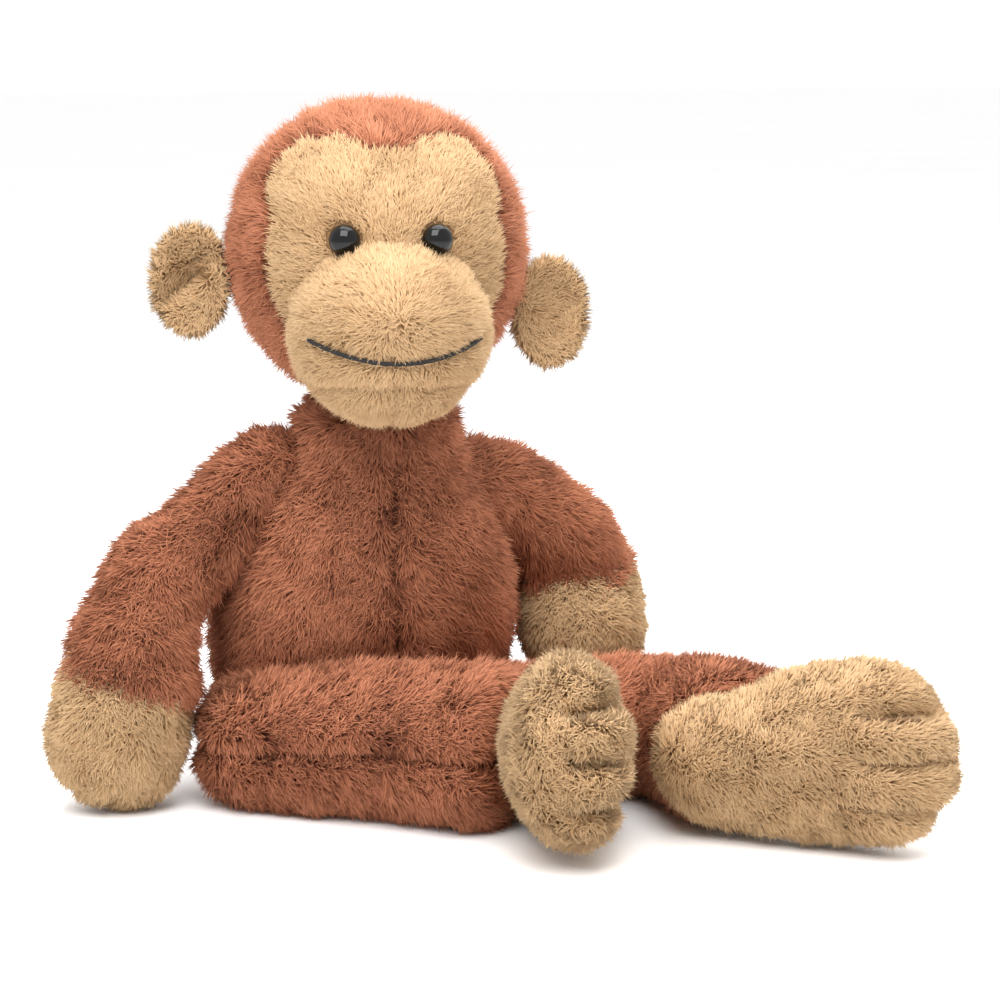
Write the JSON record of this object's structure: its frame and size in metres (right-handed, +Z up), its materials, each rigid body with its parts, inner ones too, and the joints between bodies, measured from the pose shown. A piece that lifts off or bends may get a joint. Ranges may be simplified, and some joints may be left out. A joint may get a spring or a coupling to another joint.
{
  "type": "stuffed ape toy",
  "caption": "Sitting plush ape with a turning head, heart-shaped face, cup ears, jointed arms and legs, mitten hands and flat feet",
  "frame": {"origin": "middle of the flat seat panel's underside, which the toy sits on", "axes": "+Z up, the torso faces -Y, the toy's left side is +X"},
  "size_m": [0.3484, 0.3097, 0.3192],
  "materials": {
    "brown_pile": "rust-brown long pile plush",
    "tan_pile": "camel-tan pile plush",
    "stuffing": "loose polyester fibre filling",
    "pouch_cloth": "plain woven pouch of pellets",
    "black_gloss": "polished black safety eye",
    "clear_plastic": "moulded lock washer",
    "black_thread": "black embroidery thread",
    "tan_thread": "brown sewing thread"
  },
  "bodies": {
    "torso": {"torso_front_left": "brown_pile", "torso_back_left": "brown_pile", "torso_front_right": "brown_pile", "torso_back_right": "brown_pile", "seat_panel": "brown_pile", "pellet_pouch": "pouch_cloth", "torso_stuffing": "stuffing"},
    "neck": {"neck_knot": "stuffing"},
    "head": {"head_left_panel": "brown_pile", "head_right_panel": "brown_pile", "face_panel": "tan_pile", "muzzle_panel": "tan_pile", "chin_left_panel": "tan_pile", "chin_right_panel": "tan_pile", "head_stuffing": "stuffing", "mouth_thread": "black_thread", "right_eye": "black_gloss", "right_eye_washer": "clear_plastic", "left_eye": "black_gloss", "left_eye_washer": "clear_plastic"},
    "right_ear": {"right_ear_front": "tan_pile", "right_ear_back": "tan_pile"},
    "right_arm": {"right_arm_panel_a": "brown_pile", "right_arm_panel_b": "brown_pile", "right_arm_stuffing": "stuffing"},
    "right_hand": {"right_hand_back": "tan_pile", "right_hand_palm": "tan_pile", "right_hand_stuffing": "stuffing"},
    "right_leg": {"right_leg_panel_a": "brown_pile", "right_leg_panel_b": "brown_pile", "right_leg_stuffing": "stuffing"},
    "right_foot": {"right_foot_sole": "tan_pile", "right_foot_top": "tan_pile", "right_foot_stuffing": "stuffing", "right_toe_stitch_1": "tan_thread", "right_toe_stitch_2": "tan_thread", "right_toe_stitch_3": "tan_thread"},
    "left_ear": {"left_ear_front": "tan_pile", "left_ear_back": "tan_pile"},
    "left_arm": {"left_arm_panel_a": "brown_pile", "left_arm_panel_b": "brown_pile", "left_arm_stuffing": "stuffing"},
    "left_hand": {"left_hand_back": "tan_pile", "left_hand_palm": "tan_pile", "left_hand_stuffing": "stuffing"},
    "left_leg": {"left_leg_panel_a": "brown_pile", "left_leg_panel_b": "brown_pile", "left_leg_stuffing": "stuffing"},
    "left_foot": {"left_foot_sole": "tan_pile", "left_foot_top": "tan_pile", "left_foot_stuffing": "stuffing", "left_toe_stitch_1": "tan_thread", "left_toe_stitch_2": "tan_thread", "left_toe_stitch_3": "tan_thread"}
  },
  "joints": [
    {"name": "neck_turn", "type": "hinge", "parent": "torso", "child": "neck", "pos_m": [0.006, -0.013, 0.1692], "axis": [0, 0, 1], "range_deg": [-35, 35]},
    {"name": "head_nod", "type": "hinge", "parent": "neck", "child": "head", "pos_m": [0.006, -0.013, 0.1692], "axis": [0.9781, -0.2079, 0], "range_deg": [-12, 12]},
    {"name": "right_ear_fold", "type": "hinge", "parent": "head", "child": "right_ear", "pos_m": [-0.06491, 0.00105, 0.2362], "axis": [0, 0, -1], "range_deg": [-15, 20]},
    {"name": "right_shoulder_raise", "type": "hinge", "parent": "torso", "child": "right_arm", "pos_m": [-0.05259, -0.00737, 0.14448], "axis": [0, 1, 0], "range_deg": [-3, 75]},
    {"name": "right_wrist_bend", "type": "hinge", "parent": "right_arm", "child": "right_hand", "pos_m": [-0.11983, -0.03012, 0.05095], "axis": [0, 1, 0], "range_deg": [-15, 20]},
    {"name": "right_hip_spread", "type": "hinge", "parent": "torso", "child": "right_leg", "pos_m": [-0.058, -0.049, 0.0284], "axis": [0, 0, -1], "range_deg": [0, 32]},
    {"name": "right_ankle_bend", "type": "hinge", "parent": "right_leg", "child": "right_foot", "pos_m": [0.03, -0.126, 0.0334], "axis": [0, 0, -1], "range_deg": [-1, 10]},
    {"name": "left_ear_fold", "type": "hinge", "parent": "head", "child": "left_ear", "pos_m": [0.07108, -0.02786, 0.2192], "axis": [0, 0, 1], "range_deg": [-15, 20]},
    {"name": "left_shoulder_raise", "type": "hinge", "parent": "torso", "child": "left_arm", "pos_m": [0.06291, -0.00737, 0.13448], "axis": [0, -1, 0], "range_deg": [0, 75]},
    {"name": "left_wrist_bend", "type": "hinge", "parent": "left_arm", "child": "left_hand", "pos_m": [0.1112, 0.00101, 0.08235], "axis": [0, -1, 0], "range_deg": [-8, 20]},
    {"name": "left_hip_spread", "type": "hinge", "parent": "torso", "child": "left_leg", "pos_m": [0.054, -0.056, 0.0284], "axis": [0, 0, 1], "range_deg": [0, 20]},
    {"name": "left_ankle_bend", "type": "hinge", "parent": "left_leg", "child": "left_foot", "pos_m": [0.133, -0.16, 0.0334], "axis": [0, 0, 1], "range_deg": [-8, 10]}
  ]
}
